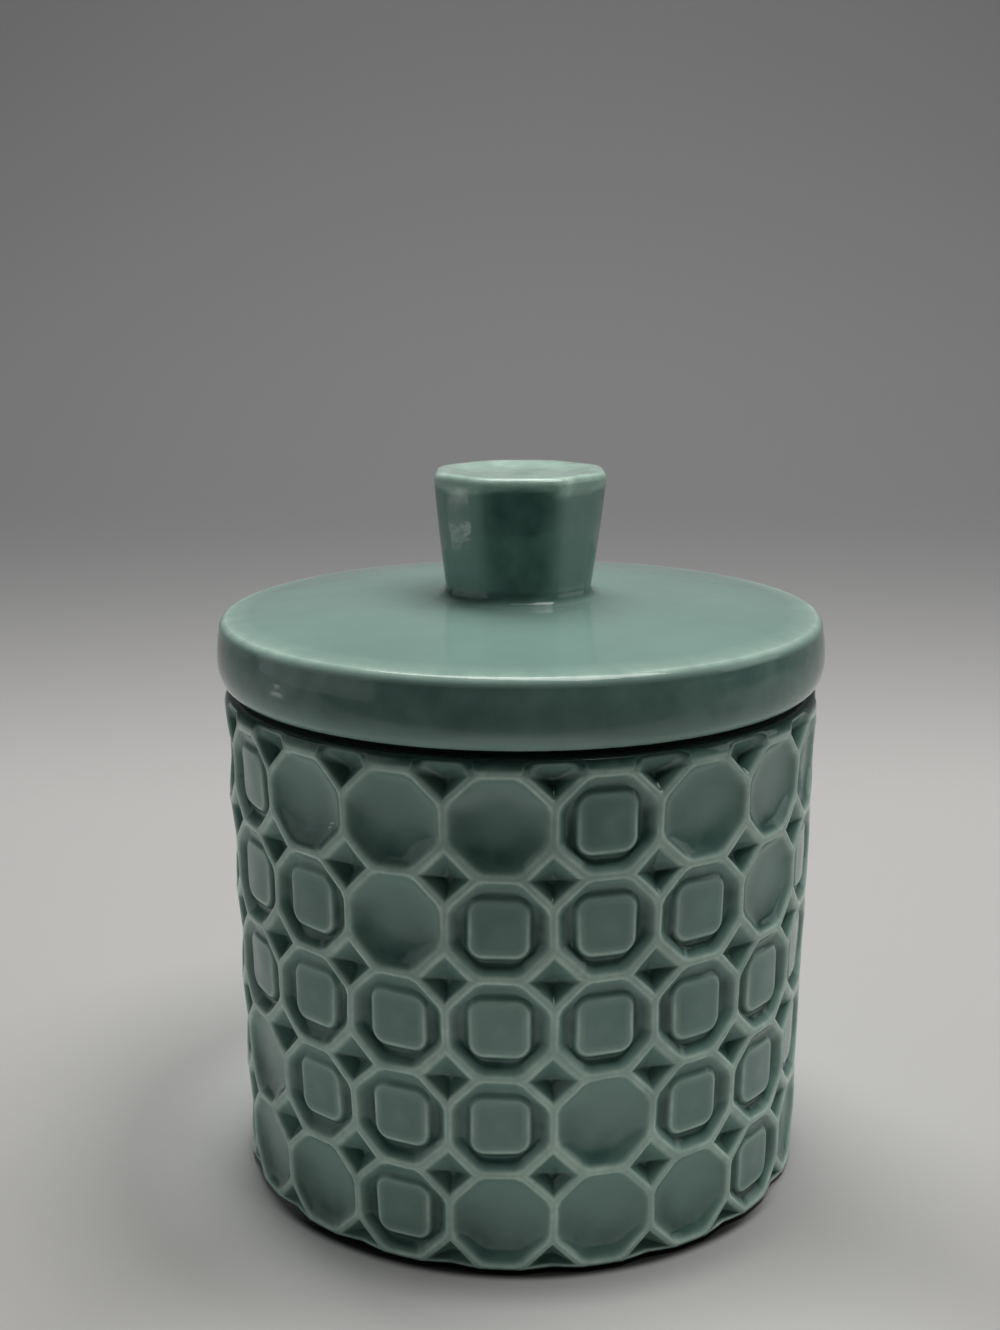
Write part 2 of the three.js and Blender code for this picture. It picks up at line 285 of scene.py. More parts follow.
def cell_tile(name, kind, place):
    """A flat tile with one octagon and a quarter of the diamond at each corner."""
    surface = Surface()
    rings, middle = cell_rings(kind)
    made = [surface.row(ring) for ring in rings]
    for first, second in zip(made, made[1:]):
        surface.strip(first, second, closed=True)
    (point,) = surface.row([middle])
    surface.fan(made[-1], point, closed=True)

    steps = (*SHARES, 1)
    for side in (1, -1):
        for end in (1, -1):
            right, top = side * HALF_WIDE, end * HALF_HIGH
            slant = [
                (right - side * CUT_WIDE * (1 - t), top - end * CUT_HIGH * t, 0) for t in steps
            ]
            flipped = side * end < 0
            if end == 1 and place == "top":
                tip = (right, top - 0.35 * CUT_HIGH)
                bowed = [
                    (
                        right - side * CUT_WIDE * (1 - t), top + bow_rise(t),
                        shoulder_loss(PATTERN_TOP + bow_rise(t)),
                    )
                    for t in steps
                ]
                # The top pockets have no pale edge, and their upper edge is painted dark: painted shade
                # under the lid
                quarter_diamond(surface, bowed, tip, not flipped, bared=0, filled=0.4, edge_shade=1.4)
            elif end == -1 and place == "bottom":
                tip = (right, top + 0.3 * CUT_HIGH)
                open_edge = [
                    (right - side * CUT_WIDE * (1 - t), top, EDGE_DENT * t) for t in steps
                ]
                quarter_diamond(surface, open_edge, tip, not flipped)
            else:
                tip = (right, top - TIP_DROP)
            # The lower facets of each diamond are filled darker than the upper ones: glaze that gathers
            # low, and painted shade
            quarter_diamond(surface, slant, tip, flipped, filled=1.0 if end == 1 else 0.3)
    return surface.object(name)


def jar_shell():
    """The jar's plain surfaces on the stations of the tiles' own edges, from the middle of
    its underside to the pattern, and from the pattern over the rim to the inner floor."""
    places = [(-HALF_WIDE + CUT_WIDE * (1 - t), t) for t in reversed((*SHARES[1:], 1))]
    places += [((HALF_WIDE - CUT_WIDE) * (2 * t - 1), 0) for t in (*SHARES, 1)]
    places += [(HALF_WIDE - CUT_WIDE * (1 - t), t) for t in SHARES[1:]]
    x, share = np.array(places).T
    cells = np.repeat(np.arange(COLUMNS), len(x))
    angle = FRONT_TURN + (cells + 0.5 - FRONT_COLUMN + np.tile(x, COLUMNS) / PITCH) * COLUMN_ANGLE
    share = np.tile(share, COLUMNS)
    bow = bow_rise(share)
    dent = EDGE_DENT * share
    across, along = np.sin(angle), -np.cos(angle)

    surface = Surface()

    def ring(radius, height, thin=0.0, pool_and_shade=0.0, bare=0.0):
        columns = np.broadcast_arrays(
            radius * across, radius * along, height, thin, pool_and_shade, bare
        )
        return surface.row(np.stack(columns, axis=1))

    def joined(rings):
        for first, second in zip(rings, rings[1:]):
            surface.strip(first, second, closed=True)
        return rings

    foot_outer = JAR_FOOT_RADIUS - FOOT_SET_IN
    foot_inner = foot_outer - FOOT_WIDTH
    under = PATTERN_BOTTOM - EDGE_THICKNESS
    edge = ridge_radius(PATTERN_BOTTOM) - dent
    # From the foot out to the pattern: the roll under the lower edge is painted nearly black, painted
    # shade of the gap over the floor
    lower = joined([
        ring(12, JAR_UNDERSIDE), ring(30, JAR_UNDERSIDE), ring(foot_inner - 1.2, JAR_UNDERSIDE),
        ring(foot_inner - 0.5, JAR_UNDERSIDE - 0.15),
        ring(foot_inner - 0.15, 0.9), ring(foot_inner, 0.35, bare=0.6),
        ring(foot_inner + 0.25, 0.06, bare=1), ring(foot_inner + 0.7, 0, bare=1),
        ring(foot_outer - 0.8, 0, bare=1), ring(foot_outer - 0.3, 0.05, bare=1),
        ring(foot_outer - 0.08, 0.25, bare=0.7), ring(foot_outer + 0.2, 0.5, pool_and_shade=0.4),
        ring(foot_outer + 0.6, under, pool_and_shade=0.5), ring(edge - 1.3, under + 0.02),
        ring(edge - 0.7, under + 0.1, pool_and_shade=1.8), ring(edge - 0.3, under + 0.3, pool_and_shade=2),
        ring(edge - 0.08, under + 0.55, pool_and_shade=2), ring(edge, PATTERN_BOTTOM, pool_and_shade=2.4),
    ])
    (point,) = surface.row([(0, 0, JAR_UNDERSIDE, 0, 0, 0)])
    surface.fan(lower[0][::-1], point, closed=True)

    upper = []
    # Up from the pattern to the rim's edge, the glaze is painted darker as it climbs and over the
    # pockets' upper edges: painted shade under the lid
    for step, thin in enumerate((1, 0.9, 0.5, 0.1, 0, 0, 0, 0, 0)):
        climbed = step / 8
        height = PATTERN_TOP + bow + climbed * (RIM_EDGE - PATTERN_TOP - bow)
        pocket_edge_shade = 1.4 * (share > 0) * (1 - 0.6 * climbed)
        upper.append(ring(
            ridge_radius(height) - shoulder_loss(height), height,
            thin * (share == 0), np.maximum(1.5 * climbed ** 0.7, pocket_edge_shade),
        ))
    for radius, height, pool_and_shade in RIM_STEPS:
        upper.append(ring(radius, height, 0, pool_and_shade))
    upper.append(ring(51.9, JAR_HEIGHT, 0.25))
    for turn in np.radians((0, 15, 35, 55, 75, 90)):
        upper.append(ring(
            MOUTH_RADIUS + RIM_ROUND * (1 - math.sin(turn)),
            JAR_HEIGHT - RIM_ROUND * (1 - math.cos(turn)), 0.7 * math.cos(turn),
        ))
    wall_bottom = JAR_FLOOR + INNER_ROUND
    bottom_radius = ridge_radius(wall_bottom) - JAR_WALL
    mouth_bottom = JAR_HEIGHT - MOUTH_DEPTH
    for radius, height in (
        (MOUTH_RADIUS, JAR_HEIGHT - 3), (MOUTH_RADIUS, JAR_HEIGHT - 7),
        (MOUTH_RADIUS - 0.02, mouth_bottom + 1.5), (MOUTH_RADIUS - 0.1, mouth_bottom - 2),
        ((MOUTH_RADIUS + bottom_radius) / 2, (mouth_bottom + wall_bottom) / 2),
    ):
        upper.append(ring(radius, height))
    for turn in np.radians((0, 15, 30, 45, 60, 75, 90)):
        upper.append(ring(
            bottom_radius - INNER_ROUND * (1 - math.cos(turn)),
            wall_bottom - INNER_ROUND * math.sin(turn), 0, 0.25 * math.sin(turn),
        ))
    upper.append(ring(20, JAR_FLOOR, 0, 0.2))
    joined(upper)
    (point,) = surface.row([(0, 0, JAR_FLOOR, 0, 0.2, 0)])
    surface.fan(upper[-1], point, closed=True)
    return surface.object("jar_shell")


def add(tree, kind, inputs=None, **settings):
    """A node with its settings, and its inputs given as values or as sockets to link."""
    made = tree.nodes.new(kind)
    for name, value in settings.items():
        setattr(made, name, value)
    for key, value in (inputs or {}).items():
        if isinstance(value, bpy.types.NodeSocket):
            tree.links.new(value, made.inputs[key])
        else:
            made.inputs[key].default_value = value
    return made


def maths(tree, operation, first, second=0.0):
    return add(tree, "ShaderNodeMath", {0: first, 1: second}, operation=operation).outputs[0]


def smoothstep(tree, value, low, high):
    """A soft step from 0 at the low value to 1 at the high one, which may lie below it."""
    falling = low > high
    return add(
        tree, "ShaderNodeMapRange",
        {
            "Value": value, "From Min": min(low, high), "From Max": max(low, high),
            "To Min": float(falling), "To Max": float(not falling),
        },
        interpolation_type="SMOOTHSTEP",
    ).outputs["Result"]


def new_group(name, kind, inputs, outputs):
    group = bpy.data.node_groups.new(name, kind)
    for title, socket in outputs:
        group.interface.new_socket(title, in_out="OUTPUT", socket_type=socket)
    for title, socket in inputs:
        group.interface.new_socket(title, in_out="INPUT", socket_type=socket)
    return group, add(group, "NodeGroupInput"), add(group, "NodeGroupOutput")


def wrapped_relief():
    """Sets a tile on every cell, wraps the flat relief round the wall and joins the shell."""
    tree, given, result = new_group(
        "wrapped_relief", "GeometryNodeTree",
        [
            ("Cells", "NodeSocketGeometry"), ("Tiles", "NodeSocketCollection"),
            ("Shell", "NodeSocketObject"), ("Mean radius", "NodeSocketFloat"),
            ("Foot radius", "NodeSocketFloat"), ("Taper", "NodeSocketFloat"),
            ("Front turn", "NodeSocketFloat"), ("Weld", "NodeSocketFloat"),
            ("Unevenness", "NodeSocketFloat"), ("Glaze", "NodeSocketMaterial"),
        ],
        [("Jar", "NodeSocketGeometry")],
    )
    tiles = add(
        tree, "GeometryNodeCollectionInfo",
        {"Collection": given.outputs["Tiles"], "Separate Children": True, "Reset Children": True},
    )
    which = add(
        tree, "GeometryNodeInputNamedAttribute", {"Name": "tile"}, data_type="INT"
    ).outputs["Attribute"]
    placed = add(
        tree, "GeometryNodeInstanceOnPoints",
        {
            "Points": given.outputs["Cells"], "Instance": tiles.outputs["Instances"],
            "Pick Instance": True, "Instance Index": which,
        },
    )
    flat = add(tree, "GeometryNodeRealizeInstances", {"Geometry": placed.outputs["Instances"]})
    place = add(tree, "GeometryNodeInputPosition").outputs[0]
    parts = add(tree, "ShaderNodeSeparateXYZ", {0: place})
    angle = maths(tree, "DIVIDE", parts.outputs["X"], given.outputs["Mean radius"])
    angle = maths(tree, "ADD", angle, given.outputs["Front turn"])
    flare = maths(tree, "MULTIPLY", parts.outputs["Y"], given.outputs["Taper"])
    radius = maths(tree, "ADD", flare, given.outputs["Foot radius"])
    radius = maths(tree, "ADD", radius, parts.outputs["Z"])
    across = maths(tree, "MULTIPLY", radius, maths(tree, "SINE", angle))
    towards = maths(tree, "MULTIPLY", radius, maths(tree, "COSINE", angle))
    wrapped = add(
        tree, "ShaderNodeCombineXYZ",
        {"X": across, "Y": maths(tree, "MULTIPLY", towards, -1.0), "Z": parts.outputs["Y"]},
    )
    wall = add(
        tree, "GeometryNodeSetPosition",
        {"Geometry": flat.outputs["Geometry"], "Position": wrapped.outputs[0]},
    )
    shell = add(tree, "GeometryNodeObjectInfo", {"Object": given.outputs["Shell"]})
    both = add(tree, "GeometryNodeJoinGeometry")
    tree.links.new(shell.outputs["Geometry"], both.inputs[0])
    tree.links.new(wall.outputs["Geometry"], both.inputs[0])
    welded = add(
        tree, "GeometryNodeMergeByDistance",
        {"Geometry": both.outputs[0], "Distance": given.outputs["Weld"]},
    )
    # The net of ridges wavers a little, but not at the foot, in the mouth or at the rim
    wavering = add(tree, "ShaderNodeTexNoise", {"Vector": place, "Scale": 55.0, "Detail": 1.0})
    offset = add(
        tree, "ShaderNodeVectorMath",
        {0: wavering.outputs["Color"], 1: (0.5, 0.5, 0.5)}, operation="SUBTRACT",
    ).outputs[0]
    level = add(tree, "ShaderNodeSeparateXYZ", {0: place}).outputs["Z"]
    free = maths(
        tree, "MULTIPLY", smoothstep(tree, level, 0.003, 0.012), smoothstep(tree, level, 0.092, 0.084)
    )
    amount = maths(tree, "MULTIPLY", free, given.outputs["Unevenness"])
    offset = add(
        tree, "ShaderNodeVectorMath", {0: offset, "Scale": amount}, operation="SCALE"
    ).outputs[0]
    uneven = add(
        tree, "GeometryNodeSetPosition",
        {"Geometry": welded.outputs["Geometry"], "Offset": offset},
    )
    smooth = add(tree, "GeometryNodeSetShadeSmooth", {"Geometry": uneven.outputs["Geometry"]})
    real = add(tree, "GeometryNodeRealizeInstances", {"Geometry": smooth.outputs["Geometry"]})
    glazed = add(
        tree, "GeometryNodeSetMaterial",
        {"Geometry": real.outputs["Geometry"], "Material": given.outputs["Glaze"]},
    )
    tree.links.new(glazed.outputs["Geometry"], result.inputs["Jar"])
    return tree


def set_inputs(modifier, values):
    """Sets a modifier's named inputs by the identifiers of their sockets."""
    for item in modifier.node_group.interface.items_tree:
        if item.in_out == "INPUT" and item.name in values:
            modifier[item.identifier] = values[item.name]


def placed(made, body, slot, node):
    """Links a finished piece to the scene, in the place of its solid and on that solid's body."""
    bpy.context.scene.collection.objects.link(made)
    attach(made, body)
    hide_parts(node)


def plain_copy(name, source):
    """The evaluated source as a plain mesh object, instead of the source."""
    graph = bpy.context.evaluated_depsgraph_get()
    mesh = bpy.data.meshes.new_from_object(
        source.evaluated_get(graph), preserve_all_data_layers=True, depsgraph=graph
    )
    mesh.name = name
    bpy.data.objects.remove(source)
    return bpy.data.objects.new(name, mesh)


def mixed(tree, share, first, second, blend="MIX"):
    made = add(tree, "ShaderNodeMix", data_type="RGBA", blend_type=blend)
    for socket, value in zip((made.inputs[0], made.inputs[6], made.inputs[7]), (share, first, second)):
        if isinstance(value, bpy.types.NodeSocket):
            tree.links.new(value, socket)
        else:
            socket.default_value = value
    return made.outputs[2]


def spread(tree, value, low, high, to_low, to_high):
    return add(
        tree, "ShaderNodeMapRange",
        {"Value": value, "From Min": low, "From Max": high, "To Min": to_low, "To Max": to_high},
    ).outputs["Result"]


def noise(tree, place, scale, detail=2.0, roughness=0.5):
    return add(
        tree, "ShaderNodeTexNoise",
        {"Vector": place, "Scale": scale, "Detail": detail, "Roughness": roughness},
    ).outputs["Fac"]


# The broken colour is paler than the glaze itself and carries painted highlights on the ridges; the
# nearly black one is painted shade
GLAZE_BODY = (0.258, 0.41, 0.366, 1)
GLAZE_POOLED = (0.065, 0.145, 0.124, 1)
GLAZE_PAINTED_SHADE = (0.006, 0.014, 0.012, 1)
GLAZE_BROKEN_AND_SHEEN = (0.68, 0.89, 0.78, 1)


def glaze_tone():
    """Celadon that breaks to a pale line where it is thin, paler than the glaze can be so that it
    carries painted highlights, and deepens where it pools. A pool value over 1 takes it on to nearly
    black, as painted shade."""
    tree, given, result = new_group(
        "glaze_tone", "ShaderNodeTree",
        [("Thin", "NodeSocketFloat"), ("Pool_and_shade", "NodeSocketFloat")],
        [("Color", "NodeSocketColor")],
    )
    place = add(tree, "ShaderNodeTexCoord").outputs["Object"]
    cloud = noise(tree, place, 34.0, 3.0)
    grain = noise(tree, place, 420.0, 4.0, 0.65)
    patches = noise(tree, place, 170.0, 2.0)
    deep = maths(tree, "MULTIPLY", given.outputs["Pool_and_shade"], spread(tree, patches, 0.32, 0.68, 0.55, 1.0))
    colour = mixed(tree, deep, GLAZE_BODY, GLAZE_POOLED)
    # A pool value over 1 takes the glaze on to nearly black: painted shade
    painted_shade_share = maths(tree, "SUBTRACT", given.outputs["Pool_and_shade"], 1.0)
    colour = mixed(tree, spread(tree, painted_shade_share, 0.0, 1.0, 0.0, 1.0), colour, GLAZE_PAINTED_SHADE)
    breaking = maths(tree, "MULTIPLY", given.outputs["Thin"], spread(tree, grain, 0.3, 0.7, 0.6, 1.0))
    breaking = maths(tree, "MULTIPLY", breaking, spread(tree, patches, 0.3, 0.7, 0.6, 1.1))
    # The pale broken line carries painted highlights on the ridges
    colour = mixed(tree, breaking, colour, GLAZE_BROKEN_AND_SHEEN)
    shade = spread(tree, cloud, 0.25, 0.75, 0.9, 1.08)
    tint = add(tree, "ShaderNodeHueSaturation", {"Value": shade, "Color": colour}).outputs[0]
    cells = add(
        tree, "ShaderNodeTexVoronoi", {"Vector": place, "Scale": 75.0}, feature="F1"
    )
    chosen = add(tree, "ShaderNodeSeparateColor", {0: cells.outputs["Color"]}).outputs[0]
    few = maths(tree, "GREATER_THAN", chosen, 0.86)
    speck = maths(tree, "MULTIPLY", few, spread(tree, cells.outputs["Distance"], 0.012, 0.026, 0.8, 0.0))
    tint = mixed(tree, speck, tint, (0.03, 0.035, 0.03, 1))
    tree.links.new(tint, result.inputs["Color"])
    return tree


def glaze_surface():
    """The gloss of the glaze, and its slow waves and fine orange peel as a normal."""
    tree, _, result = new_group(
        "glaze_surface", "ShaderNodeTree", [],
        [("Roughness", "NodeSocketFloat"), ("Normal", "NodeSocketVector")],
    )
    place = add(tree, "ShaderNodeTexCoord").outputs["Object"]
    waves = noise(tree, place, 70.0, 1.5)
    peel = noise(tree, place, 650.0, 2.0)
    slow = add(
        tree, "ShaderNodeBump", {"Strength": 0.35, "Distance": 0.0006, "Height": waves}
    ).outputs[0]
    fine = add(
        tree, "ShaderNodeBump",
        {"Strength": 0.3, "Distance": 0.00005, "Height": peel, "Normal": slow},
    ).outputs[0]
    gloss = spread(tree, noise(tree, place, 130.0, 3.0), 0.3, 0.7, 0.06, 0.12)
    tree.links.new(gloss, result.inputs["Roughness"])
    tree.links.new(fine, result.inputs["Normal"])
    return tree


def clay_body():
    """Bare fired stoneware: warm grey, with fine grog and a dusty surface."""
    tree, _, result = new_group(
        "clay_body", "ShaderNodeTree", [],
        [("Color", "NodeSocketColor"), ("Roughness", "NodeSocketFloat")],
    )
    place = add(tree, "ShaderNodeTexCoord").outputs["Object"]
    grog = noise(tree, place, 900.0, 5.0, 0.7)
    colour = mixed(
        tree, spread(tree, grog, 0.35, 0.65, 0.0, 1.0),
        (0.42, 0.36, 0.28, 1), (0.58, 0.52, 0.43, 1),
    )
    tree.links.new(colour, result.inputs["Color"])
    tree.links.new(spread(tree, grog, 0.3, 0.7, 0.8, 0.95), result.inputs["Roughness"])
    return tree


def glaze_material(name, tone, surface, clay):
    material = bpy.data.materials.new(name)
    material.use_nodes = True
    tree = material.node_tree
    tree.nodes.clear()
    masks = {
        title: add(tree, "ShaderNodeAttribute", attribute_name=title).outputs["Fac"]
        for title in ("thin", "pool_and_shade", "bare")
    }
    colour = add(
        tree, "ShaderNodeGroup", {"Thin": masks["thin"], "Pool_and_shade": masks["pool_and_shade"]}, node_tree=tone
    )
    gloss = add(tree, "ShaderNodeGroup", node_tree=surface)
    raw = add(tree, "ShaderNodeGroup", node_tree=clay)
    shown = mixed(tree, masks["bare"], colour.outputs["Color"], raw.outputs["Color"])
    rough = add(
        tree, "ShaderNodeMix",
        {0: masks["bare"], 2: gloss.outputs["Roughness"], 3: raw.outputs["Roughness"]},
    ).outputs[0]
    shader = add(
        tree, "ShaderNodeBsdfPrincipled",
        {
            "Base Color": shown, "Roughness": rough, "Normal": gloss.outputs["Normal"],
            "IOR": 1.45,
        },
    )
    add(tree, "ShaderNodeOutputMaterial", {"Surface": shader.outputs[0]})
    return material


glaze = glaze_material("celadon_glaze", glaze_tone(), glaze_surface(), clay_body())

tiles = bpy.data.collections.new("jar_tiles")
TILE_FORMS = [(kind, place) for place in ("top", "middle", "bottom") for kind in "ds"]
for number, (kind, place) in enumerate(TILE_FORMS):
    tiles.objects.link(cell_tile(f"tile_{number}", kind, place))

cell_points = []
cell_tiles = []
for row in range(ROWS):
    place = {0: "top", ROWS - 1: "bottom"}.get(row, "middle")
    for column in range(COLUMNS):
        offset = column - FRONT_COLUMN
        height = PATTERN_TOP - (row + 0.5) * RISE
        cell_points.append(((offset + 0.5) * PITCH * MM, height * MM, 0))
        cell_tiles.append(TILE_FORMS.index((KIND_ROWS[row][offset % 4], place)))
cells = bpy.data.meshes.new("jar_cells")
cells.from_pydata(cell_points, [], [])
cells.attributes.new("tile", "INT", "POINT").data.foreach_set("value", cell_tiles)

jar_cells = bpy.data.objects.new("jar_cells", cells)
bpy.context.scene.collection.objects.link(jar_cells)
shell = jar_shell()
relief = jar_cells.modifiers.new("relief", "NODES")
relief.node_group = wrapped_relief()
set_inputs(relief, {
    "Tiles": tiles,
    "Shell": shell,
    "Mean radius": MEAN_RADIUS * MM,
    "Foot radius": JAR_FOOT_RADIUS * MM,
    "Taper": (JAR_TOP_RADIUS - JAR_FOOT_RADIUS) / JAR_HEIGHT,
    "Front turn": FRONT_TURN,
    "Weld": 0.02 * MM,
    "Unevenness": 1.1 * MM,
    "Glaze": glaze,
})
placed(plain_copy("jar_body_glazed", jar_cells), "jar", "glaze", "jar_body")
for helper in [*tiles.objects, shell]:
    bpy.data.objects.remove(helper)
bpy.data.collections.remove(tiles)

# Lid. A thick turned disc with a soft edge and a slight crown, in the same glaze. Its hollow
# underside has a flange that drops into the jar's mouth, with a groove for the seal.

TURNED_SEGMENTS = 192
LID_RADIUS = 57.48
LID_UNDERSIDE = 95.3
LID_SHOULDER = 107.8
LID_TOP = 110.9
EDGE_ROUND = 5.2
EDGE_POOL = 0.65
SHOULDER_EASE = 1.8
CROWN_FLAT = 16
# From the shoulder to the flat middle: share of the way in, share of the rise
CROWN_STEPS = (
    (0, 0), (0.03, 0.06), (0.12, 0.24), (0.25, 0.45), (0.4, 0.65), (0.55, 0.8), (0.75, 0.94), (1, 1),
)
FLANGE_RADIUS = 47.8
FLANGE_WALL = 5.0
FLANGE_BOTTOM = 85.3
GROOVE_RADIUS = 45.8
GROOVE_TOP = 92.9
GROOVE_BOTTOM = 88.3
LID_CEILING = 102.75


def eased_profile(corners, steps=6):
    """A line of radius, height, rounding and thinness, with each corner turned into an arc
    and the glaze thin on the arc alone."""
    line = []
    for i, (radius, height, rounding, thin) in enumerate(corners):
        here = np.array((radius, height), float)
        if rounding == 0:
            line.append((*here, thin))
            continue
        before = np.array(corners[i - 1][:2], float) - here
        after = np.array(corners[(i + 1) % len(corners)][:2], float) - here
        before_length, after_length = np.linalg.norm(before), np.linalg.norm(after)
        before, after = before / before_length, after / after_length
        opening = math.acos(np.clip(before @ after, -1, 1))
        reach = min(rounding / math.tan(opening / 2), 0.48 * before_length, 0.48 * after_length)
        if reach + 0.6 < 0.5 * before_length:
            line.append((*(here + before * (reach + 0.6)), 0))
        start, end = here + before * reach, here + after * reach
        swell = reach * math.tan(opening / 2)
        centre = here + (before + after) / np.linalg.norm(before + after) * swell / math.sin(opening / 2)
        first = math.atan2(*(start - centre)[::-1])
        last = math.atan2(*(end - centre)[::-1])
        turn = (last - first + math.pi) % (2 * math.pi) - math.pi
        for step in range(steps + 1):
            angle = first + turn * step / steps
            point = centre + swell * np.array((math.cos(angle), math.sin(angle)))
            line.append((*point, thin * math.sin(math.pi * (0.15 + 0.7 * step / steps))))
        if reach + 0.6 < 0.5 * after_length:
            line.append((*(here + after * (reach + 0.6)), 0))
    return line


def turned_object(name, line, material, closed=False):
    """Turns a line about Z. It starts below, climbs on its outer side and ends on top. Its
    third value is how thin the glaze is, or below 0 how deep."""
    surface = Surface()
    angles = np.arange(TURNED_SEGMENTS) * 2 * math.pi / TURNED_SEGMENTS
    rings = []
    for radius, height, thin in line:
        if radius > 1e-6:
            rings.append(surface.row(
                (radius * math.sin(a), -radius * math.cos(a), height, max(thin, 0), max(-thin, 0), 0)
                for a in angles
            ))
    for first, second in zip(rings, rings[1:]):
        surface.strip(first, second, closed=True)
    if closed:
        surface.strip(rings[-1], rings[0], closed=True)
    else:
        low, high = surface.row([(0, 0, line[0][1], 0, 0, 0), (0, 0, line[-1][1], 0, 0, 0)])
        surface.fan(rings[0][::-1], low, closed=True)
        surface.fan(rings[-1], high, closed=True)
    made = surface.object(name)
    made.data.materials.append(material)
    return made


def lid_outside():
    """A long soft round below, a side that leans in a little, a short round and the crown."""
    line = []
    for turn in np.radians(np.linspace(-90, 0, 13)):
        line.append((
            LID_RADIUS - 2.5 * (1 - math.cos(turn)),
            LID_UNDERSIDE + EDGE_ROUND * (1 + math.sin(turn)),
            0.4 * math.sin(turn) ** 4 - EDGE_POOL * math.cos(turn) ** 6,
        ))
    for climb in (1.1, 2.2, 3.3, 4.4, 5.5):
        radius = LID_RADIUS - 0.55 * (climb / 5.5) ** 2
        line.append((radius, LID_UNDERSIDE + EDGE_ROUND + climb, -EDGE_POOL))
    middle_radius = LID_RADIUS - 0.52 - SHOULDER_EASE
    middle_height = LID_SHOULDER - 1.75
    for turn in np.radians((16, 28, 40, 52, 64, 76)):
        line.append((
            middle_radius + SHOULDER_EASE * math.cos(turn),
            middle_height + SHOULDER_EASE * math.sin(turn), 0.8 * math.sin(turn) ** 2,
        ))
    start = middle_radius + 0.2
    for share, rise in CROWN_STEPS:
        line.append((
            start - share * (start - CROWN_FLAT),
            LID_SHOULDER + (LID_TOP - LID_SHOULDER) * rise, max(0, 0.5 - 8 * share),
        ))
    return line


lid_line = eased_profile([
    (0, LID_CEILING, 0, 0), (20, LID_CEILING, 0, 0),
    (FLANGE_RADIUS - FLANGE_WALL, LID_CEILING, 4, 0),
    (FLANGE_RADIUS - FLANGE_WALL, FLANGE_BOTTOM, 0.9, 0.8),
    (FLANGE_RADIUS, FLANGE_BOTTOM, 0.9, 0.8),
    (FLANGE_RADIUS, GROOVE_BOTTOM, 0.3, 0.6), (GROOVE_RADIUS, GROOVE_BOTTOM, 0.3, 0),
    (GROOVE_RADIUS, GROOVE_TOP, 0.3, 0), (FLANGE_RADIUS, GROOVE_TOP, 0.3, 0.6),
    (FLANGE_RADIUS, LID_UNDERSIDE, 0.8, 0),
    *((radius, height, 0, thin) for radius, height, thin in lid_outside()), (0, LID_TOP, 0, 0),
])
placed(turned_object("lid_glazed", lid_line, glaze), "lid_assembly", "glaze", "lid")

# Knob. An octagonal stub, wider at the top, pressed by itself and luted to the lid before
# glazing: its facets meet in soft corners, its top is dished, and glaze gathers at its root.

KNOB_HEIGHT = 23.6
KNOB_BASE_HALF = 13.7
KNOB_TOP_HALF = 16.0
KNOB_CORNER = 7.0
KNOB_TOP = LID_TOP + KNOB_HEIGHT
KNOB_RIM = 1.2
ROOT_HEIGHT = 2.0
DRIP_TURN = math.radians(29)
DRIP_HALF = 1.9
DRIP_LENGTH = 2.3
KNOB_LEAN = -0.4


def knob_outline(half, corner):
    """An octagon with rounded corners, anticlockwise, one flat side towards the front."""
    corner = min(corner, 0.6 * half)
    eighth = math.pi / 4
    reach = (half - corner) / math.cos(eighth / 2)
    points = []
    for side in range(8):
        middle = -math.pi / 2 + (side + 0.5) * eighth
        centre = np.array((reach * math.cos(middle), reach * math.sin(middle)))
        for share in np.linspace(-0.5, 0.5, 7):
            angle = middle + share * eighth
            points.append(centre + corner * np.array((math.cos(angle), math.sin(angle))))
        following = -math.pi / 2 + (side + 1.5) * eighth
        next_centre = np.array((reach * math.cos(following), reach * math.sin(following)))
        flat = -math.pi / 2 + (side + 1) * eighth
        offset = corner * np.array((math.cos(flat), math.sin(flat)))
        for share in (0.2, 0.4, 0.6, 0.8):
            points.append(centre + share * (next_centre - centre) + offset)
    return np.array(points)


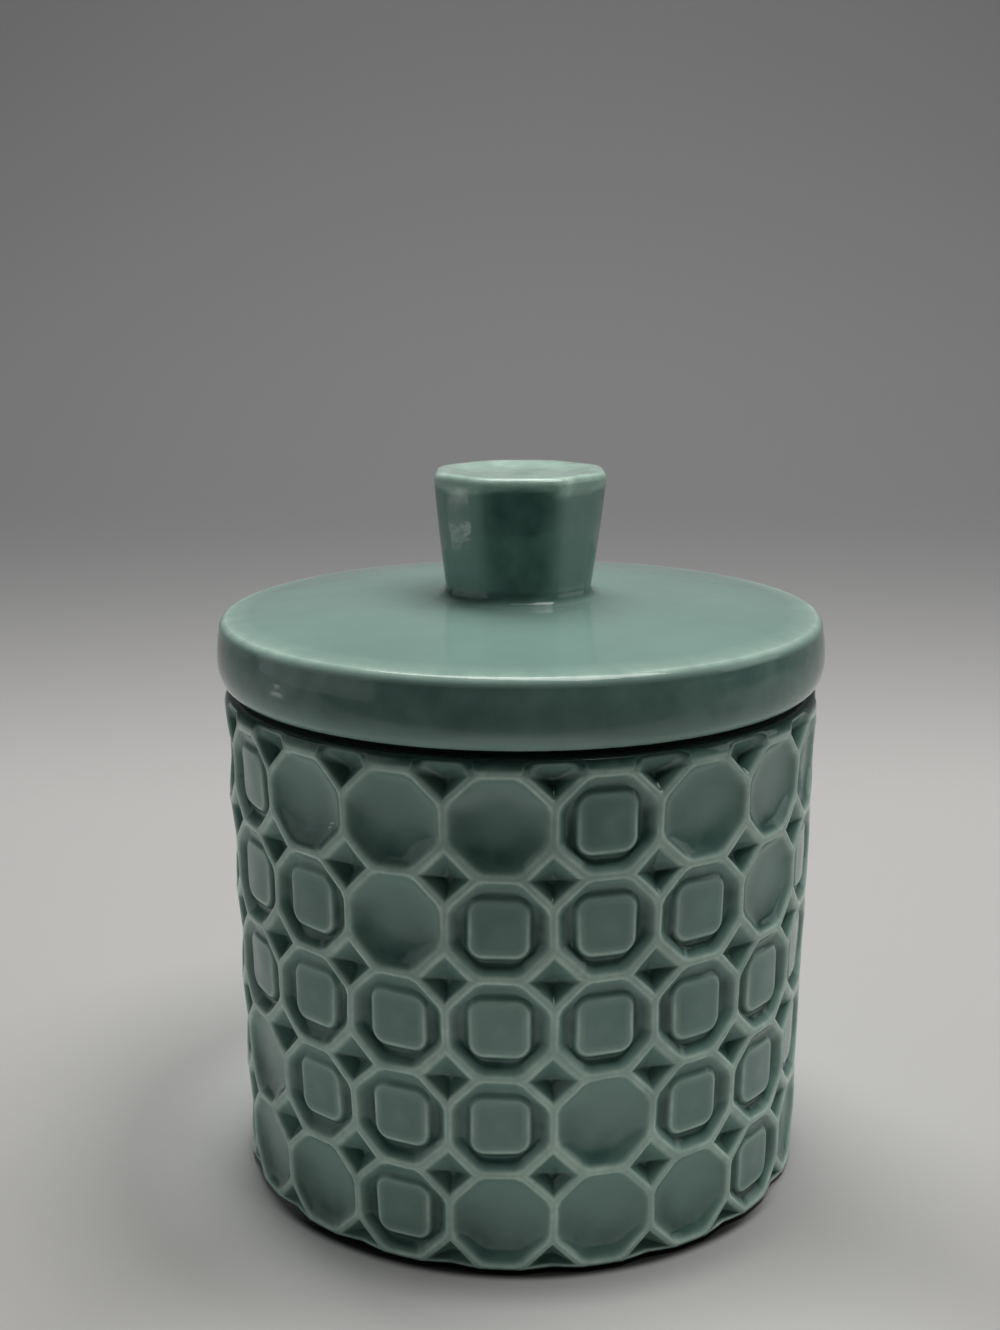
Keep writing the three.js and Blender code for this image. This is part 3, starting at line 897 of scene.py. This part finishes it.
def knob_object():
    surface = Surface()
    base = LID_TOP
    levels = [
        (KNOB_BASE_HALF + 2.3, base + 0.01, 9.6, 0, 0),
        (KNOB_BASE_HALF + 1.75, base + 0.07, 9.3, 0, 0),
        (KNOB_BASE_HALF + 1.25, base + 0.22, 9.1, 0, 0.1),
        (KNOB_BASE_HALF + 0.8, base + 0.5, 8.9, 0, 0.4),
        (KNOB_BASE_HALF + 0.45, base + 0.88, 8.7, 0, 0.7),
        (KNOB_BASE_HALF + 0.2, base + 1.35, 8.6, 0, 0.9),
    ]
    low, high = base + ROOT_HEIGHT, KNOB_TOP - KNOB_RIM - 0.1
    for share in (*np.linspace(0, 0.8, 9), 0.84, 0.88, 0.91, 0.94, 0.97, 1.0):
        half = KNOB_BASE_HALF + (KNOB_TOP_HALF - KNOB_BASE_HALF) * share
        half += 0.15 * 4 * share * (1 - share)
        corner = KNOB_CORNER + 1.5 * (1 - share) ** 2
        levels.append((half, low + (high - low) * share, corner, 0, 0.45 * (1 - share) ** 4))
    for turn, thin in ((25, 0.5), (50, 0.9), (70, 1), (90, 0.9)):
        angle = math.radians(turn)
        levels.append((
            KNOB_TOP_HALF - KNOB_RIM * (1 - math.cos(angle)),
            KNOB_TOP - KNOB_RIM * (1 - math.sin(angle)), KNOB_CORNER, thin, 0,
        ))
    for inward, drop, thin, pool_and_shade in (
        (2.0, 0.0, 0.9, 0), (3.2, 0.05, 0.8, 0), (4.2, 0.22, 0.7, 0), (5.4, 0.52, 0.6, 0),
        (6.8, 0.75, 0.45, 0), (9, 0.86, 0.4, 0), (12, 0.89, 0.4, 0),
    ):
        levels.append((KNOB_TOP_HALF - inward, KNOB_TOP - drop, KNOB_CORNER + 0.5 * inward, thin, pool_and_shade))

    rings = []
    for half, height, corner, thin, pool_and_shade in levels:
        outline = knob_outline(half, corner)
        x, y = outline.T
        around = np.arctan2(x, -y)
        # The four broad faces are painted darker than the slanted ones between: painted shade
        broad_face_shade = np.clip(0.6 + 0.7 * np.cos(4 * around), 0.25, 1)
        upright = np.clip((KNOB_TOP - KNOB_RIM - height) / 1.5, 0, 1)
        pooled_and_face_shade = np.maximum(pool_and_shade, broad_face_shade * upright * min(1, (height - base) / 1.2))
        # The thin rim reaches lower on the slanted faces
        reach = 0.9 + 1.5 * (1 - np.cos(2 * around) ** 2)
        lower_rim = np.clip((height - KNOB_TOP + KNOB_RIM + reach) / 0.7, 0, 1)
        glazed = np.maximum(thin, 0.75 * lower_rim)
        # One run of glaze from the rim, at the front right corner
        across = (around - DRIP_TURN) * KNOB_TOP_HALF
        down = max(KNOB_TOP - KNOB_RIM - height, 0)
        run = np.exp(-((across / DRIP_HALF) ** 4)) * np.exp(-((down / DRIP_LENGTH) ** 6))
        run = run * np.clip(2.4 - (KNOB_TOP_HALF - half), 0, 1)
        swell = 1 + 0.018 * run
        pooled_and_face_shade = pooled_and_face_shade * (1 - run)
        glazed = np.maximum(glazed, run)
        lean = KNOB_LEAN * (KNOB_TOP - height) / KNOB_HEIGHT
        rings.append(surface.row(np.stack(np.broadcast_arrays(
            x * swell + lean, y * swell, height, glazed, pooled_and_face_shade, 0.0
        ), axis=1)))
    for first, second in zip(rings, rings[1:]):
        surface.strip(first, second, closed=True)
    low_tip, high_tip = surface.row([
        (0, 0, base + 0.02, 0, 0, 0), (0, 0, KNOB_TOP - 0.9, 0.4, 0, 0),
    ])
    # The underside has its own points, so that it doesn't darken the glaze round the root
    under = surface.row(surface.points[i] for i in rings[0])
    surface.fan(under[::-1], low_tip, closed=True)
    surface.fan(rings[-1], high_tip, closed=True)
    made = surface.object("lid_knob_glazed")
    made.data.materials.append(glaze)
    return made


placed(knob_object(), "lid_assembly", "glaze", "lid_knob")

# Seal. A ring of pale silicone with two lips, stretched into the groove round the flange.
# Its lips sweep up and press softly against the mouth's wall.


def silicone_material():
    material = bpy.data.materials.new("pale_silicone")
    material.use_nodes = True
    tree = material.node_tree
    tree.nodes.clear()
    place = add(tree, "ShaderNodeTexCoord").outputs["Object"]
    bloom = noise(tree, place, 60.0, 3.0)
    dust = noise(tree, place, 1400.0, 3.0)
    colour = mixed(
        tree, spread(tree, bloom, 0.3, 0.7, 0.0, 1.0),
        (0.74, 0.755, 0.72, 1), (0.83, 0.84, 0.81, 1),
    )
    skin = add(
        tree, "ShaderNodeBump", {"Strength": 0.4, "Distance": 0.00004, "Height": dust}
    ).outputs[0]
    shader = add(
        tree, "ShaderNodeBsdfPrincipled",
        {
            "Base Color": colour, "Roughness": spread(tree, dust, 0.3, 0.7, 0.48, 0.62),
            "Normal": skin, "IOR": 1.43,
        },
    )
    add(tree, "ShaderNodeOutputMaterial", {"Surface": shader.outputs[0]})
    return material


SEAL_INNER, SEAL_BAND, SEAL_TIP = 46.1, 47.8, 49.6
SEAL_TOP, SEAL_BOTTOM = 92.6, 88.6
seal_line = eased_profile([
    (SEAL_INNER, SEAL_TOP, 0.3, 0), (SEAL_INNER, SEAL_BOTTOM, 0.3, 0),
    (SEAL_BAND, SEAL_BOTTOM, 0.4, 0), (SEAL_TIP, SEAL_BOTTOM + 0.7, 0.25, 0),
    (SEAL_TIP, SEAL_BOTTOM + 1.15, 0.2, 0), (SEAL_BAND, SEAL_BOTTOM + 0.8, 0.3, 0),
    (SEAL_BAND, SEAL_TOP - 0.8, 0.3, 0), (SEAL_TIP, SEAL_TOP - 0.45, 0.2, 0),
    (SEAL_TIP, SEAL_TOP, 0.25, 0),
], steps=4)
seal = turned_object("lid_seal_silicone", seal_line, silicone_material(), closed=True)
placed(seal, "lid_assembly", "silicone", "lid_seal")

# Studio. A seamless sheet that sweeps up behind, one wide soft light overhead and a little
# behind, a weak fill from each side, and a dim room in front.


def paper_material():
    """Pale paper with painted light and shade: painted shade where it sweeps up behind, higher up, a
    little on the floor before the jar and where it runs out in front; painted light beside the jar's
    left and close before its front; and a painted shadow, black, right under its front edge."""
    material = bpy.data.materials.new("pale_paper")
    material.use_nodes = True
    tree = material.node_tree
    place = add(tree, "ShaderNodeTexCoord").outputs["Object"]
    parts = add(tree, "ShaderNodeSeparateXYZ", {0: place})
    behind = maths(tree, "ADD", parts.outputs["Y"], parts.outputs["Z"])
    # Painted shade: darker where the sheet sweeps up behind, and darker again higher up
    shade = mixed(
        tree, smoothstep(tree, behind, 0.2, 0.54), (0.585, 0.582, 0.58, 1), (0.215, 0.217, 0.224, 1)
    )
    shade = mixed(
        tree, smoothstep(tree, behind, 0.62, 1.0), shade, (0.18, 0.182, 0.188, 1)
    )
    # Painted shade: the floor a little darker on the near side
    painted_shade_near = smoothstep(tree, parts.outputs["Y"], 0.01, -0.06)
    shade = mixed(tree, painted_shade_near, shade, (0.52, 0.517, 0.513, 1))
    reach = add(tree, "ShaderNodeVectorMath", {0: place}, operation="LENGTH").outputs["Value"]
    # Painted light: paler paper beside the jar's left, in place of its shadow there
    left = maths(
        tree, "MULTIPLY", smoothstep(tree, reach, 0.081, 0.056),
        smoothstep(tree, parts.outputs["X"], -0.015, -0.045),
    )
    shade = mixed(tree, left, shade, (0.9, 0.9, 0.895, 1))
    # Painted light: paler paper close before the jar's front, in place of its shadow there
    near = add(
        tree, "ShaderNodeVectorMath", {0: place, 1: (0.006, -0.11, 0.0)}, operation="DISTANCE"
    ).outputs["Value"]
    before = maths(
        tree, "MULTIPLY", smoothstep(tree, near, 0.095, 0.03), smoothstep(tree, reach, 0.056, 0.066)
    )
    shade = mixed(tree, before, shade, (0.95, 0.945, 0.935, 1))
    # Painted shade: the floor darkens where it runs out in front
    front = smoothstep(tree, parts.outputs["Y"], -0.15, -0.27)
    shade = mixed(tree, front, shade, (0.08, 0.08, 0.08, 1))
    # Painted shadow: nearly black paper right under the jar's front edge
    painted_contact_shadow = maths(
        tree, "MULTIPLY", smoothstep(tree, reach, 0.0565, 0.0543),
        smoothstep(tree, parts.outputs["Y"], -0.025, -0.04),
    )
    shade = mixed(tree, painted_contact_shadow, shade, (0.03, 0.03, 0.03, 1))
    shader = tree.nodes["Principled BSDF"]
    tree.links.new(shade, shader.inputs["Base Color"])
    shader.inputs["Roughness"].default_value = 0.85
    return material


SHEET_HALF = 4.0
SHEET_HEIGHT = 3.0
SWEEP_START = 0.25
SWEEP_RADIUS = 0.4
sweep = [(-SHEET_HALF, 0.0)]
for turn in np.radians(np.arange(0, 91, 6)):
    sweep.append((
        SWEEP_START + SWEEP_RADIUS * math.sin(turn), SWEEP_RADIUS * (1 - math.cos(turn))
    ))
sweep.append((SWEEP_START + SWEEP_RADIUS, SHEET_HEIGHT))
sheet_mesh = bpy.data.meshes.new("sheet")
sheet_mesh.from_pydata(
    [(x, y, z) for y, z in sweep for x in (-SHEET_HALF, SHEET_HALF)], [],
    [(2 * i, 2 * i + 1, 2 * i + 3, 2 * i + 2) for i in range(len(sweep) - 1)],
)
sheet_mesh.polygons.foreach_set("use_smooth", [True] * len(sheet_mesh.polygons))
sheet = bpy.data.objects.new("sheet", sheet_mesh)
bpy.context.scene.collection.objects.link(sheet)
sheet_mesh.materials.append(paper_material())


def area_light(name, place, aim, size, power, colour):
    lamp = bpy.data.lights.new(name, "AREA")
    lamp.shape = "RECTANGLE"
    lamp.size, lamp.size_y = size
    lamp.energy = power
    lamp.color = colour
    made = bpy.data.objects.new(name, lamp)
    made.location = place
    made.rotation_mode = "QUATERNION"
    direction = np.array(aim, float) - np.array(place, float)
    made.rotation_quaternion = Vector(direction).to_track_quat("-Z", "Y")
    bpy.context.scene.collection.objects.link(made)


area_light("overhead", (0.1, 0.16, 0.95), (0.02, 0.1, 0), (1.05, 0.48), 9.2, (1.0, 0.985, 0.96))
area_light("left", (-0.85, -0.15, 0.28), (0, 0, 0.06), (1.0, 0.6), 0.8, (0.96, 1.0, 1.0))
area_light("right", (0.85, 0.0, 0.3), (0, 0, 0.06), (0.5, 0.4), 0.5, (1.0, 1.0, 0.98))
# Two panes of a low window on the left, which show in the knob's left face
area_light("upper_pane", (-0.32, 0.009, 0.0535), (0, 0.01, 0.0535), (0.012, 0.006), 0.0007, (1, 1, 1))
area_light("lower_pane", (-0.32, 0.015, 0.034), (0, 0.02, 0.034), (0.03, 0.009), 0.0015, (1, 1, 1))

world = bpy.data.worlds.new("room")
world.use_nodes = True
background = world.node_tree.nodes["Background"]
background.inputs["Color"].default_value = (0.9, 0.95, 1.0, 1)
background.inputs["Strength"].default_value = 0.002
bpy.context.scene.world = world
bpy.context.scene.view_settings.view_transform = "Standard"

# The camera stands before the jar and looks down on it by 13 degrees
CAMERA_PLACE = (-0.0026, -0.3264, 0.1731)
YAW, PITCH_DOWN, ROLL = -0.00403, 0.22977, -0.00378
forward = Vector((
    math.sin(YAW) * math.cos(PITCH_DOWN), math.cos(YAW) * math.cos(PITCH_DOWN),
    -math.sin(PITCH_DOWN),
))
level = Vector((math.cos(YAW), -math.sin(YAW), 0))
upward = level.cross(forward)
side = level * math.cos(ROLL) + upward * math.sin(ROLL)
over = upward * math.cos(ROLL) - level * math.sin(ROLL)
lens = bpy.data.cameras.new("camera")
lens.lens = 47.2
lens.sensor_width = 36
lens.clip_start = 0.01
camera = bpy.data.objects.new("camera", lens)
camera.matrix_world = Matrix((
    *((side[i], over[i], -forward[i], CAMERA_PLACE[i]) for i in range(3)), (0, 0, 0, 1),
))
bpy.context.scene.collection.objects.link(camera)
bpy.context.scene.camera = camera
